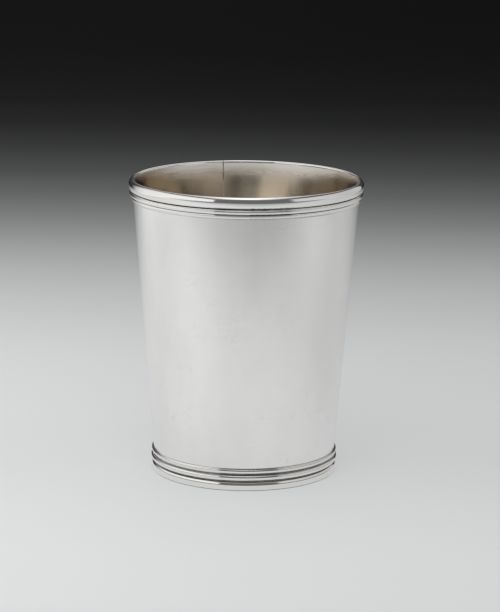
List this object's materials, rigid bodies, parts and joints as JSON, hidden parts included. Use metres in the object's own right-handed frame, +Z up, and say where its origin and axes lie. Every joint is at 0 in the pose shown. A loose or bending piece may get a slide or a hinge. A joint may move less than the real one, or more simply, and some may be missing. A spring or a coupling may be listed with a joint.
{
  "type": "julep cup",
  "caption": "Tapered silver beaker with a reeded lip moulding, a reeded foot moulding and a let-in base, for cold drinks.",
  "frame": {"origin": "on the table, at the middle of the foot's resting ring", "axes": "+Z up the axis of the cup towards the mouth; the side seam stands at the back, 102.5 degrees from +X towards +Y"},
  "size_m": [0.0752, 0.0752, 0.095],
  "materials": {
    "wall_silver": "softly polished silver sheet, satin outside, warm tarnish and fine round scratches inside",
    "base_silver": "satin silver sheet with table scratches underneath",
    "moulding_silver": "bright polished drawn silver, darker in the grooves",
    "solder": "dull grey silver solder"
  },
  "bodies": {
    "root": {"body_wall": "wall_silver", "side_seam": "solder", "base_disc": "base_silver", "base_solder": "solder", "rim_moulding": "moulding_silver", "foot_moulding": "moulding_silver"}
  },
  "joints": []
}
